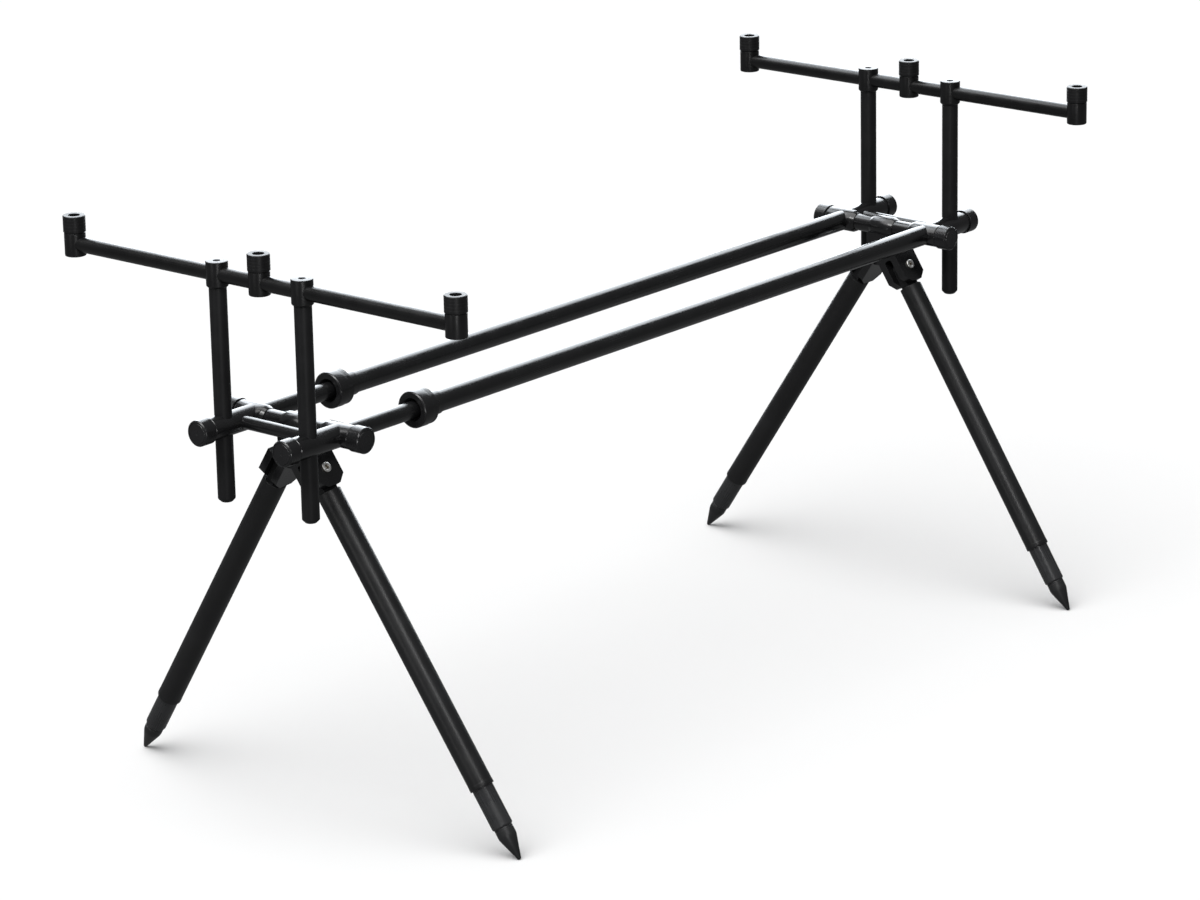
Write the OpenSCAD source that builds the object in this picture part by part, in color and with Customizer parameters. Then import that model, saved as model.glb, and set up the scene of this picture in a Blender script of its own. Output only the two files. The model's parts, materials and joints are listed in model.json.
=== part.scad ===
// Rod pod: two telescoping side bars, an upright goal at each end and four folding legs with spikes.
// X runs across the pod, Y along it towards the rear and Z up, in millimetres.
// The origin is on the ground under the middle of the pod.

/* [Layout] */
// Distance between the front posts and the rear posts, as set up
post_span = 946; // [900:1:1100]
// Distance between the two posts of a goal, which is also that of the side bars
post_gap = 103; // [98:1:120]
// How far each cross axle lies inboard of its posts
axle_inset = 40.5; // [38:0.5:50]
// Height of the cross axles above the ground
axle_height = 362.5; // [350:0.5:400]
// Height of the goal bars above the cross axles
bar_rise = 139; // [110:1:150]
// How far the front leg pair is swivelled inboard, in degrees
front_lean = 2.9; // [0:0.1:6]
// How far the rear leg pair is swivelled inboard, in degrees
rear_lean = 0.7; // [0:0.1:6]

/* [Goal bars] */
// Distance between the end bosses of the front bar
front_bar = 460; // [380:1:560]
// Distance between the end bosses of the rear bar
rear_bar = 412; // [340:1:560]
// Outer diameter of a bar tube
bar_d = 14; // [12:0.5:15]
// Wall of a bar tube
bar_wall = 2; // [1.5:0.1:3]

/* [Bosses] */
// Diameter of a boss
boss_d = 19.5; // [19:0.1:24]
// Height of a boss
boss_h = 22; // [20:0.5:28]
// Diameter of the hole with the alarm thread
thread_d = 8.6; // [8:0.1:9.4]
// Depth of the alarm thread below the spigot's top
thread_depth = 24; // [15:1:28]
// Metal left between the alarm thread and the end of a bar
boss_web = 2; // [1.5:0.1:2.5]
// Diameter of the spigot that the lock collar turns on
spigot_d = 13; // [12.5:0.1:15]
// Height of that spigot
spigot_h = 10; // [6:0.5:11]

/* [Lock collars] */
// Diameter of a lock collar
collar_d = 20.5; // [19:0.1:24]
// Height of a lock collar
collar_h = 15; // [13:0.5:20]
// Diameter of the hole in its top face
collar_mouth_d = 10.6; // [9.6:0.1:11]

/* [Posts] */
// Outer diameter of a post
post_d = 16; // [15:0.5:17]
// Wall of a post
post_wall = 2; // [1.5:0.1:3]
// Length of a post below its head
post_length = 197.5; // [180:0.5:220]
// Solid metal at the lower end of a post
post_floor = 8; // [5:0.5:12]
// Chamfer round the lower end of a post
post_tip = 3; // [1:0.5:4]
// Diameter of a post head
head_d = 20; // [19:0.1:24]
// Height of a post head
head_h = 24; // [22:0.5:30]
// Chamfer under a post head
head_step = 1.6; // [0.5:0.1:1.9]
// Length of the plug that a head has in its post
head_plug = 14; // [8:1:20]
// Diameter of the set screw in a post head
set_screw_d = 6; // [4:0.5:6]
// Width of the set screw's hexagon socket
set_screw_socket = 3; // [2:0.5:3]

/* [Tees] */
// Diameter of the sleeves on the cross axle
sleeve_d = 22; // [21:0.1:26]
// Length of a tee's sleeve
sleeve_length = 35; // [30:1:40]
// Length of the taper at the inboard end of a tee's sleeve and both ends of a yoke's
sleeve_taper = 4.5; // [1:0.1:6]
// How far that taper brings the radius in
sleeve_drop = 1.9; // [0.5:0.1:2]
// Diameter of the stub that a post passes through
stub_d = 21.5; // [20.5:0.1:24]
// Length of a stub beyond the post's axis
stub_over = 19.5; // [14:0.5:24]
// Length of the plug that a tee has in its side bar
tee_plug = 20; // [12:1:30]
// Diameter of the stiffener rod between two stubs
stiffener_d = 12; // [8:0.5:12]
// Distance of the stiffener from the posts
stiffener_inset = 18; // [16:0.5:20]
// Depth of the stiffener's seat in a stub
stiffener_seat = 3.5; // [3:0.1:4]

/* [Clamp knobs] */
// Diameter of a clamp knob
knob_d = 24; // [20:0.5:30]
// Length of a clamp knob
knob_length = 14; // [10:0.5:20]
// Diameter of the neck that sets a knob off from its sleeve
knob_neck_d = 20; // [16:0.5:20]
// Length of that neck
knob_neck = 0.8; // [0.4:0.1:2]
// Diameter of the threaded stud on a knob
stud_d = 8; // [6:0.5:8]
// Length of an axle knob's stud
axle_stud = 18; // [12:1:24]
// Width of the raised rim round a knob's end face
knob_rim = 2; // [1:0.1:4]
// Depth of the dished end face inside that rim
knob_dish = 0.6; // [0.2:0.1:1.5]

/* [Side bars] */
// Outer diameter of the inner tube
inner_d = 16; // [14:0.5:17]
// Wall of the inner tube
inner_wall = 2; // [1.5:0.1:3]
// Length of the inner tube
inner_length = 520; // [400:5:600]
// Length of inner tube that shows between the tee and the collar nut
inner_shown = 82.5; // [60:0.5:140]
// Radial room between the inner and the outer tube
tube_room = 0.5; // [0.3:0.1:0.8]
// Wall of the outer tube
outer_wall = 1.5; // [1.2:0.1:2.5]
// Length of the guide swaged on the end of the inner tube
guide_length = 14; // [8:1:30]

/* [Collar nuts] */
// Diameter of a collar nut
nut_d = 34; // [31:0.5:38]
// Length of a collar nut
nut_length = 19; // [17:0.5:24]
// Length of the grip band round the back of a nut
nut_grip = 7; // [4:0.5:10]
// How far that band lies below the rest of the nut
nut_step = 0.4; // [0.2:0.1:0.8]
// Distance from a nut's front face to the end of the outer tube
nut_wall = 13; // [11.5:0.1:13.5]
// Diameter of the recess in a nut's front face
nut_recess_d = 26; // [24:0.5:28]
// Depth of that recess
nut_recess = 4.5; // [3:0.1:4.8]
// Wall of the ferrule that the nut is screwed on
ferrule_wall = 1; // [0.8:0.1:1.6]
// Length of the ferrule
ferrule_length = 19; // [16:0.5:26]
// Length of the straight part of a collet
collet_ring = 2; // [1.5:0.1:2.2]
// Length of the tapered part of a collet
collet_cone = 4; // [3:0.1:4]
// Wall of a collet at its tapered end
collet_nose = 1.2; // [0.8:0.1:1.6]
// Width of the slits in a collet
collet_slit = 1; // [0.5:0.1:2]

/* [Axle and yoke] */
// Diameter of a cross axle
axle_d = 17; // [14:0.5:17]
// How far an axle ends inside its tees
axle_setback = 2; // [1:0.5:4]
// Length of a yoke's sleeve on the axle
yoke_length = 29; // [26:0.5:36]
// Depth of a yoke's neck along the pod
neck_depth = 24; // [20:0.5:28]
// How far the neck reaches below the axle
neck_drop = 38; // [34:0.5:40]
// Angle of the legs out from the vertical, in degrees
leg_splay = 33.4; // [30:0.2:36]
// Distance of a leg pivot from the middle of the pod
pivot_x = 21.5; // [21:0.5:24]
// Distance of a leg pivot below the axle
pivot_drop = 40.9; // [40:0.1:44]

/* [Clevises] */
// Width of a clevis along the leg screw
clevis_w = 24; // [22:0.5:27]
// Depth of a clevis along the pod
clevis_depth = 31.8; // [28:0.2:33]
// Height of a clevis above the leg screw
clevis_above = 15; // [14.5:0.5:17]
// Length of a clevis below the leg screw
clevis_below = 17; // [15:0.5:17.5]
// Where the corners of an ear start, below the leg screw
ear_corner = 9.9; // [8:0.1:10]
// Width of the lower edge of an ear
ear_edge = 15; // [10:0.5:16]
// Width of the slot for the leg's tongue
slot_w = 9; // [7:0.5:10]
// Height of the slot above the leg screw
slot_above = 12; // [11.5:0.1:12.5]
// Rounding of the slot's upper corners
slot_round = 3; // [1:0.1:3.2]
// Diameter of the leg screw
screw_d = 6; // [5:0.5:8]
// Diameter of its head
screw_head_d = 9.4; // [8.5:0.1:12]
// Height of its head
screw_head_h = 1.8; // [1.5:0.1:4]
// Width of the hexagon socket in its head
screw_socket = 4; // [3:0.1:4.2]
// Depth of that socket
screw_socket_depth = 3; // [1.2:0.1:3.5]
// Metal of the clevis left over the end of the leg screw
screw_cover = 3; // [2:0.5:5]

/* [Legs] */
// Outer diameter of a leg tube
leg_d = 22.6; // [21:0.1:23]
// Wall of a leg tube
leg_wall = 1.2; // [1:0.1:1.6]
// Distance from the leg screw to the upper end of the leg tube
leg_top = 19.6; // [19.6:0.2:24]
// Distance from the leg screw to the lower end of the leg tube
leg_end = 314; // [290:1:325]
// How far the lip at the lower end stands out
lip_out = 0.3; // [0.2:0.1:1.5]
// Length of the lip
lip_length = 4; // [2:0.5:8]
// Radius of the rounded end of a leg's tongue
tongue_r = 8.7; // [7.5:0.1:8.8]
// How far the square stop corner of the tongue stands above the leg screw
stop_rise = 9.4; // [8.9:0.1:9.4]
// How far the stop corner reaches towards the outside of the pod
stop_reach = 8; // [6:0.5:8.5]
// Length of the plug of a leg's head in the leg tube
leg_plug = 25; // [15:1:30]

/* [Leg extensions] */
// Wall of an inner leg tube
inner_leg_wall = 1.5; // [1:0.1:2]
// Length of an inner leg tube
inner_leg_length = 240; // [200:1:250]
// Length of the lock bush above the inner leg tube
bush_length = 18; // [12:1:20]
// Length of the plugs that the bush and the spike have in the inner leg tube
inner_plug = 14; // [10:1:20]
// Diameter of a spike
spike_d = 17.2; // [17:0.1:18.5]
// Length of the straight part of a spike
spike_shoulder = 9; // [6:0.5:14]
// Length of the tapered part of a spike, to the middle of its rounded tip
spike_cone = 21; // [16:0.5:28]
// Radius of the rounded tip
spike_tip = 2; // [1.5:0.1:3]

/* [Clearances] */
// Radial clearance of shafts that turn or slide
running = 0.08; // [0.05:0.01:0.1]
// Radial clearance of joints that are glued or pressed
seat_gap = 0.04; // [0.02:0.01:0.06]
// Gap between faces that move apart
free_gap = 0.3; // [0.2:0.05:0.4]
// Chamfer on turned edges
edge = 0.8; // [0.3:0.1:1.2]

/* [Hidden] */
$fn = 64;
FRONT = -1;
REAR = 1;
LEFT = -1;
RIGHT = 1;
SIDES = [LEFT, RIGHT];
// Extra length of cuts that run out through a face
out = 1;

axle_y = post_span / 2 - axle_inset;
side_x = post_gap / 2;
tee_out = side_x + sleeve_length / 2;
boss_seat = thread_d / 2 + boss_web;
post_bore = post_d - 2 * post_wall;
inner_bore = inner_d - 2 * inner_wall;
outer_bore = inner_d + 2 * tube_room;
outer_d = outer_bore + 2 * outer_wall;
ferrule_bore = outer_d + 2 * seat_gap;
ferrule_d = ferrule_bore + 2 * ferrule_wall;
collet_bore = inner_d + 2 * running;
leg_bore = leg_d - 2 * leg_wall;
inner_leg_d = leg_bore - 2 * free_gap;
inner_leg_bore = inner_leg_d - 2 * inner_leg_wall;
tongue_w = slot_w - 2 * free_gap;
// Front face of the collar nuts and front end of the outer tubes, along the pod
nut_y = -axle_y + sleeve_d / 2 + inner_shown;
tube_y = nut_y + nut_wall;

BLACK = "#1d1e20";
GLOSS_BLACK = "#141518";
GREY = "#5b5e63";
STEEL = "#c2c4c6";
NYLON = "#2c2c2a";

function bar_length(end) = end == FRONT ? front_bar : rear_bar;
function lean(end) = end == FRONT ? front_lean : rear_lean;
// Distance along a leg from its screw to the middle of the spike's rounded tip, which rests on the ground
function reach(end) =
    ((axle_height - spike_tip) / cos(lean(end)) - pivot_drop) / cos(leg_splay);
// Distance along a leg from its screw to the lower end of the inner leg tube
function inner_leg_end(end) = reach(end) - spike_cone - spike_shoulder;

// Frames that the pieces are drawn in

module mirror_if(wanted, axis) {
    if (wanted) mirror(axis) children();
    else children();
}

// Middle of an end's cross axle, with +Y inboard
module at_end(end) {
    mirror_if(end == REAR, [0, 1, 0]) translate([0, -axle_y, axle_height]) children();
}

module on_side(side) {
    mirror_if(side == LEFT, [1, 0, 0]) children();
}

// Middle of a goal's bar
module at_goal(end) {
    at_end(end) translate([0, -axle_inset, bar_rise]) children();
}

// Middle of an end's cross axle, swivelled with the legs
module at_yoke(end) {
    at_end(end) rotate([lean(end), 0, 0]) children();
}

// Leg screw of a yoke, with X along the screw and -Z down the leg
module at_leg(side) {
    on_side(side) translate([pivot_x, 0, -pivot_drop]) rotate([0, -leg_splay, 0]) children();
}

module along_x() {
    rotate([0, 90, 0]) children();
}

module along_y() {
    rotate([-90, 0, 0]) children();
}

// Shapes that repeat

// Cylinder with chamfered ends
module turned(d, h, low = edge, high = edge) {
    rotate_extrude() polygon([
        [0, 0], [d / 2 - low, 0], [d / 2, low], [d / 2, h - high], [d / 2 - high, h], [0, h]
    ]);
}

// Outside of a sleeve on the cross axle, with its middle at the origin.
// Its lower end is tapered, and its upper end has a taper or only a chamfer, given as length and drop.
module sleeve(length, top) {
    rotate_extrude() polygon([
        [0, -length / 2], [sleeve_d / 2 - sleeve_drop, -length / 2],
        [sleeve_d / 2, sleeve_taper - length / 2], [sleeve_d / 2, length / 2 - top[0]],
        [sleeve_d / 2 - top[1], length / 2], [0, length / 2]
    ]);
}

module tube(d, bore, h) {
    difference() {
        cylinder(d = d, h = h);
        translate([0, 0, -out]) cylinder(d = bore, h = h + 2 * out);
    }
}

module hexagon_socket(width, depth) {
    cylinder(d = width / cos(30), h = depth, $fn = 6);
}

// Goals

module bar_tubes(end) {
    color(BLACK) at_goal(end) for (side = SIDES)
        on_side(side) translate([boss_seat, 0, 0])
            along_x() tube(bar_d, bar_d - 2 * bar_wall, bar_length(end) / 2 - 2 * boss_seat);
}

// Boss with a seat for a bar on each of the given sides
module boss(seats) {
    difference() {
        union() {
            translate([0, 0, -boss_h / 2]) turned(boss_d, boss_h);
            cylinder(d = spigot_d, h = boss_h / 2 + spigot_h);
        }
        translate([0, 0, boss_h / 2 + spigot_h - thread_depth])
            cylinder(d = thread_d, h = thread_depth + out);
        for (side = seats)
            on_side(side) translate([boss_seat, 0, 0])
                along_x() cylinder(d = bar_d + 2 * seat_gap, h = boss_d);
    }
}

module bosses(end) {
    color(BLACK) at_goal(end) {
        boss(SIDES);
        for (side = SIDES) translate([side * bar_length(end) / 2, 0, 0]) boss([-side]);
    }
}

// place is -1 for the left boss, 0 for the middle one and 1 for the right one
module lock_collar(end, place) {
    color(BLACK) at_goal(end)
        translate([place * bar_length(end) / 2, 0, boss_h / 2 + free_gap]) difference() {
            turned(collar_d, collar_h);
            translate([0, 0, -out]) cylinder(d = spigot_d + 2 * running, h = spigot_h + out);
            cylinder(d = collar_mouth_d, h = collar_h + out);
        }
}

module post_heads(end) {
    color(BLACK) at_goal(end) for (side = SIDES) translate([side * side_x, 0, 0]) difference() {
        union() {
            translate([0, 0, -head_h / 2]) turned(head_d, head_h, head_step, edge);
            translate([0, 0, -head_h / 2 - head_plug])
                cylinder(d = post_bore - 2 * seat_gap, h = head_h / 2 + head_plug);
        }
        translate([-head_d, 0, 0]) along_x() cylinder(d = bar_d + 2 * seat_gap, h = 2 * head_d);
        cylinder(d = set_screw_d + 2 * seat_gap, h = head_h / 2 + out);
    }
}

module head_screws(end) {
    screw_length = head_h / 2 - bar_d / 2 - seat_gap - edge;
    color(BLACK) at_goal(end) for (side = SIDES)
        translate([side * side_x, 0, bar_d / 2 + seat_gap]) difference() {
            cylinder(d = set_screw_d, h = screw_length);
            translate([0, 0, screw_length / 3]) hexagon_socket(set_screw_socket, screw_length);
        }
}

module posts(end) {
    color(BLACK) at_goal(end) for (side = SIDES)
        translate([side * side_x, 0, -head_h / 2 - post_length]) difference() {
            turned(post_d, post_length, post_tip, 0);
            translate([0, 0, post_floor]) cylinder(d = post_bore, h = post_length);
        }
}

// Frame ends

module tee(plug_d) {
    stub_length = axle_inset + stub_over;
    difference() {
        union() {
            along_x() sleeve(sleeve_length, [edge, edge]);
            translate([0, -stub_length, 0]) along_y() turned(stub_d, stub_length, edge, 0);
            along_y() cylinder(d = plug_d - 2 * seat_gap, h = sleeve_d / 2 + tee_plug);
        }
        along_x() cylinder(d = axle_d + 2 * running, h = sleeve_length + 2 * out, center = true);
        translate([0, -axle_inset, 0])
            cylinder(d = post_d + 2 * running, h = stub_d + 2 * out, center = true);
        translate([0, -stub_length - out, 0])
            along_y() cylinder(d = stud_d + 2 * running, h = stub_over + out);
        translate([-stub_d / 2 - out, stiffener_inset - axle_inset, 0])
            along_x() cylinder(d = stiffener_d + 2 * seat_gap, h = stiffener_seat + out);
    }
}

module tees(end) {
    color(GLOSS_BLACK) at_end(end) for (side = SIDES)
        on_side(side) translate([side_x, 0, 0]) tee(end == FRONT ? inner_bore : outer_bore);
}

module stiffener(end) {
    half = side_x - stub_d / 2 + stiffener_seat;
    color(BLACK) at_end(end) translate([0, stiffener_inset - axle_inset, 0])
        along_x() cylinder(d = stiffener_d, h = 2 * half, center = true);
}

// Knob with its stud, standing on the XY plane with the stud pointing down
module knob(stud_length) {
    difference() {
        union() {
            translate([0, 0, knob_neck]) turned(knob_d, knob_length - knob_neck);
            cylinder(d = knob_neck_d, h = knob_neck + edge);
            translate([0, 0, -stud_length]) cylinder(d = stud_d, h = stud_length + edge);
        }
        translate([0, 0, knob_length - knob_dish])
            cylinder(d = knob_d - 2 * edge - 2 * knob_rim, h = knob_dish + out);
    }
}

// The stud of a post knob stops just short of the post, where it bears when it is tightened
module post_knob(end, side) {
    color(BLACK) at_end(end)
        translate([side * side_x, -axle_inset - stub_over - free_gap, 0])
            rotate([90, 0, 0]) knob(stub_over - post_d / 2);
}

module axle_knob(end, side) {
    color(BLACK) at_yoke(end) on_side(side) translate([tee_out + free_gap, 0, 0])
        along_x() knob(axle_stud);
}

// Side bars

// Cut that fits the end of a side bar to the sleeve of its tee
module sleeve_saddle(end) {
    at_end(end) along_x()
        cylinder(d = sleeve_d + 2 * seat_gap, h = 2 * tee_out + 2 * out, center = true);
}

module side_inner_tubes() {
    length = sleeve_d / 2 + inner_length;
    color(GLOSS_BLACK) difference() {
        for (side = SIDES) translate([side * side_x, -axle_y, axle_height]) along_y() difference() {
            union() {
                cylinder(d = inner_d, h = length);
                translate([0, 0, length - guide_length])
                    cylinder(d = outer_bore - 2 * running, h = guide_length);
            }
            translate([0, 0, -out]) cylinder(d = inner_bore, h = length + 2 * out);
        }
        sleeve_saddle(FRONT);
    }
}

module side_outer_tubes() {
    color(GLOSS_BLACK) difference() {
        for (side = SIDES)
            translate([side * side_x, tube_y, axle_height])
                along_y() tube(outer_d, outer_bore, axle_y - tube_y);
        sleeve_saddle(REAR);
    }
}

module side_ferrules() {
    color(BLACK) for (side = SIDES)
        translate([side * side_x, tube_y, axle_height])
            along_y() tube(ferrule_d, ferrule_bore, ferrule_length);
}

// Tapered collet with its wide end on the outer tube and ferrule
module collet() {
    length = collet_ring + collet_cone;
    difference() {
        rotate_extrude() polygon([
            [collet_bore / 2, 0], [ferrule_d / 2 - running, 0], [ferrule_d / 2 - running, collet_ring],
            [collet_bore / 2 + collet_nose, length], [collet_bore / 2, length]
        ]);
        for (turn = [0, 90])
            rotate([0, 0, turn]) translate([-ferrule_d, -collet_slit / 2, collet_ring])
                cube([2 * ferrule_d, collet_slit, collet_cone + out]);
    }
}

module side_collets() {
    color(NYLON) for (side = SIDES)
        translate([side * side_x, tube_y, axle_height]) rotate([90, 0, 0]) collet();
}

module collar_nut(side) {
    nut_bore = ferrule_d + 2 * running;
    mouth = inner_d / 2 + collet_nose - 2 * running;
    nose = collet_bore / 2 + collet_nose;
    seat_front = nut_wall - collet_ring - collet_cone - free_gap;
    slope = (ferrule_d / 2 - nose) / collet_cone;
    seat_back = seat_front + (nut_bore / 2 - nose - free_gap) / slope;
    band = nut_length - nut_grip;
    grip_r = nut_d / 2 - nut_step;
    color(BLACK) translate([side * side_x, nut_y, axle_height]) along_y() rotate_extrude() polygon([
        [nut_recess_d / 2, 0], [nut_d / 2 - edge, 0], [nut_d / 2, edge], [nut_d / 2, band - nut_step],
        [grip_r, band], [grip_r, nut_length - edge], [grip_r - edge, nut_length], [nut_bore / 2, nut_length],
        [nut_bore / 2, seat_back], [nose + free_gap, seat_front], [mouth, seat_front], [mouth, nut_recess]
    ]);
}

// Axles, yokes and legs

module axle(end) {
    half = tee_out - axle_setback;
    color(GLOSS_BLACK) at_yoke(end) difference() {
        along_x() cylinder(d = axle_d, h = 2 * half, center = true);
        for (side = SIDES)
            on_side(side) translate([tee_out - axle_stud, 0, 0])
                along_x() cylinder(d = stud_d + 2 * running, h = axle_stud + out);
    }
}

// Block of a clevis before it is slotted
module clevis_block() {
    rotate([90, 0, 90]) linear_extrude(clevis_w, center = true) polygon([
        [-clevis_depth / 2, clevis_above], [-clevis_depth / 2, -ear_corner], [-ear_edge / 2, -clevis_below],
        [ear_edge / 2, -clevis_below], [clevis_depth / 2, -ear_corner], [clevis_depth / 2, clevis_above]
    ]);
}

// Slot for a leg's tongue, open below and along the pod
module clevis_slot() {
    corner_x = slot_w / 2 - slot_round;
    corner_z = slot_above - slot_round;
    length = clevis_depth + 2 * out;
    rotate([90, 0, 0]) linear_extrude(length, center = true) union() {
        translate([-slot_w / 2, -clevis_below - out]) square([slot_w, clevis_below + out + corner_z]);
        translate([-corner_x, 0]) square([2 * corner_x, slot_above]);
        for (side = SIDES) translate([side * corner_x, corner_z]) circle(r = slot_round);
    }
}

module yoke(end) {
    color(GLOSS_BLACK) at_yoke(end) difference() {
        union() {
            along_x() sleeve(yoke_length, [sleeve_taper, sleeve_drop]);
            translate([-yoke_length / 2, -neck_depth / 2, -neck_drop])
                cube([yoke_length, neck_depth, neck_drop - sleeve_d / 4]);
            for (side = SIDES) at_leg(side) clevis_block();
        }
        along_x() cylinder(d = axle_d + 2 * seat_gap, h = yoke_length + 2 * out, center = true);
        for (side = SIDES) at_leg(side) {
            clevis_slot();
            translate([screw_cover - clevis_w / 2, 0, 0])
                along_x() cylinder(d = screw_d + 2 * seat_gap, h = clevis_w);
        }
    }
}

module leg_screws(end) {
    length = clevis_w - screw_cover - free_gap;
    color(STEEL) at_yoke(end) for (side = SIDES)
        at_leg(side) translate([clevis_w / 2, 0, 0]) along_x() difference() {
            union() {
                translate([0, 0, -length]) cylinder(d = screw_d, h = length);
                turned(screw_head_d, screw_head_h, 0, edge);
            }
            translate([0, 0, screw_head_h - screw_socket_depth])
                hexagon_socket(screw_socket, screw_socket_depth + out);
        }
}

// Tongue in the clevis, with a square corner that stops the leg from opening past its set angle
module leg_head(end, side) {
    color(BLACK) at_yoke(end) at_leg(side) difference() {
        union() {
            along_x() cylinder(r = tongue_r, h = tongue_w, center = true);
            translate([-tongue_w / 2, -tongue_r, -leg_top]) cube([tongue_w, 2 * tongue_r, leg_top]);
            translate([-tongue_w / 2, -stop_reach, 0]) cube([tongue_w, stop_reach, stop_rise]);
            translate([0, 0, -leg_top - leg_plug])
                cylinder(d = leg_bore - 2 * seat_gap, h = leg_plug);
        }
        along_x() cylinder(d = screw_d + 2 * running, h = slot_w, center = true);
    }
}

module leg_tube(end, side) {
    length = leg_end - leg_top;
    color(BLACK) at_yoke(end) at_leg(side) translate([0, 0, -leg_end]) {
        difference() {
            union() {
                cylinder(d = leg_d, h = length);
                cylinder(d = leg_d + 2 * lip_out, h = lip_length);
            }
            translate([0, 0, -out]) cylinder(d = leg_bore, h = length + 2 * out);
        }
    }
}

module inner_leg(end, side) {
    color(GREY) at_yoke(end) at_leg(side) translate([0, 0, -inner_leg_end(end)])
        tube(inner_leg_d, inner_leg_bore, inner_leg_length);
}

module lock_bush(end, side) {
    color(NYLON) at_yoke(end) at_leg(side) translate([0, 0, inner_leg_length - inner_leg_end(end)]) {
        turned(leg_bore - 2 * running, bush_length);
        translate([0, 0, -inner_plug])
            cylinder(d = inner_leg_bore - 2 * seat_gap, h = inner_plug + edge);
    }
}

// Spike whose rounded tip rests on the ground
module spike(end, side) {
    // The taper ends a little wider than the ball, so that the two surfaces cross cleanly
    taper_end = 1.04 * spike_tip;
    color(GREY) at_yoke(end) at_leg(side) translate([0, 0, -inner_leg_end(end)]) {
        translate([0, 0, -edge]) cylinder(d = inner_leg_bore - 2 * seat_gap, h = inner_plug + edge);
        translate([0, 0, -spike_shoulder]) cylinder(d = spike_d, h = spike_shoulder);
        translate([0, 0, -spike_shoulder - spike_cone])
            cylinder(r1 = taper_end, r2 = spike_d / 2, h = spike_cone);
        translate([0, 0, -spike_shoulder - spike_cone]) sphere(r = spike_tip);
    }
}

tees(REAR);  // rear_tees
stiffener(REAR);  // rear_stiffener
side_outer_tubes();
side_ferrules();
side_collets();
tees(FRONT);  // front_tees
stiffener(FRONT);  // front_stiffener
side_inner_tubes();
collar_nut(LEFT);  // left_collar_nut
collar_nut(RIGHT);  // right_collar_nut

bar_tubes(FRONT);  // front_bar_tubes
bosses(FRONT);  // front_bosses
post_heads(FRONT);  // front_post_heads
posts(FRONT);  // front_posts
head_screws(FRONT);  // front_head_screws
bar_tubes(REAR);  // rear_bar_tubes
bosses(REAR);  // rear_bosses
post_heads(REAR);  // rear_post_heads
posts(REAR);  // rear_posts
head_screws(REAR);  // rear_head_screws

lock_collar(FRONT, -1);  // front_left_lock_collar
lock_collar(FRONT, 0);  // front_middle_lock_collar
lock_collar(FRONT, 1);  // front_right_lock_collar
lock_collar(REAR, -1);  // rear_left_lock_collar
lock_collar(REAR, 0);  // rear_middle_lock_collar
lock_collar(REAR, 1);  // rear_right_lock_collar

post_knob(FRONT, LEFT);  // front_left_post_knob
post_knob(FRONT, RIGHT);  // front_right_post_knob
post_knob(REAR, LEFT);  // rear_left_post_knob
post_knob(REAR, RIGHT);  // rear_right_post_knob
axle_knob(FRONT, LEFT);  // front_left_axle_knob
axle_knob(FRONT, RIGHT);  // front_right_axle_knob
axle_knob(REAR, LEFT);  // rear_left_axle_knob
axle_knob(REAR, RIGHT);  // rear_right_axle_knob

axle(FRONT);  // front_axle
yoke(FRONT);  // front_yoke
leg_screws(FRONT);  // front_leg_screws
axle(REAR);  // rear_axle
yoke(REAR);  // rear_yoke
leg_screws(REAR);  // rear_leg_screws

leg_head(FRONT, LEFT);  // front_left_leg_head
leg_tube(FRONT, LEFT);  // front_left_leg_tube
inner_leg(FRONT, LEFT);  // front_left_inner_leg
lock_bush(FRONT, LEFT);  // front_left_lock_bush
spike(FRONT, LEFT);  // front_left_spike
leg_head(FRONT, RIGHT);  // front_right_leg_head
leg_tube(FRONT, RIGHT);  // front_right_leg_tube
inner_leg(FRONT, RIGHT);  // front_right_inner_leg
lock_bush(FRONT, RIGHT);  // front_right_lock_bush
spike(FRONT, RIGHT);  // front_right_spike
leg_head(REAR, LEFT);  // rear_left_leg_head
leg_tube(REAR, LEFT);  // rear_left_leg_tube
inner_leg(REAR, LEFT);  // rear_left_inner_leg
lock_bush(REAR, LEFT);  // rear_left_lock_bush
spike(REAR, LEFT);  // rear_left_spike
leg_head(REAR, RIGHT);  // rear_right_leg_head
leg_tube(REAR, RIGHT);  // rear_right_leg_tube
inner_leg(REAR, RIGHT);  // rear_right_inner_leg
lock_bush(REAR, RIGHT);  // rear_right_lock_bush
spike(REAR, RIGHT);  // rear_right_spike
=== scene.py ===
"""Looks of a fishing rod pod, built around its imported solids.

Black anodised tubes, machined tees and yokes, turned knobs, grooved collars, ribbed nuts, and
folding legs with spikes. Sizes are in millimetres and angles in degrees; places and finished
meshes are in metres.
"""

import json
import logging
import math
from abc import ABC, abstractmethod
from dataclasses import dataclass, field
from enum import Enum

import bmesh
import bpy
from mathutils import Matrix, Vector

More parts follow.
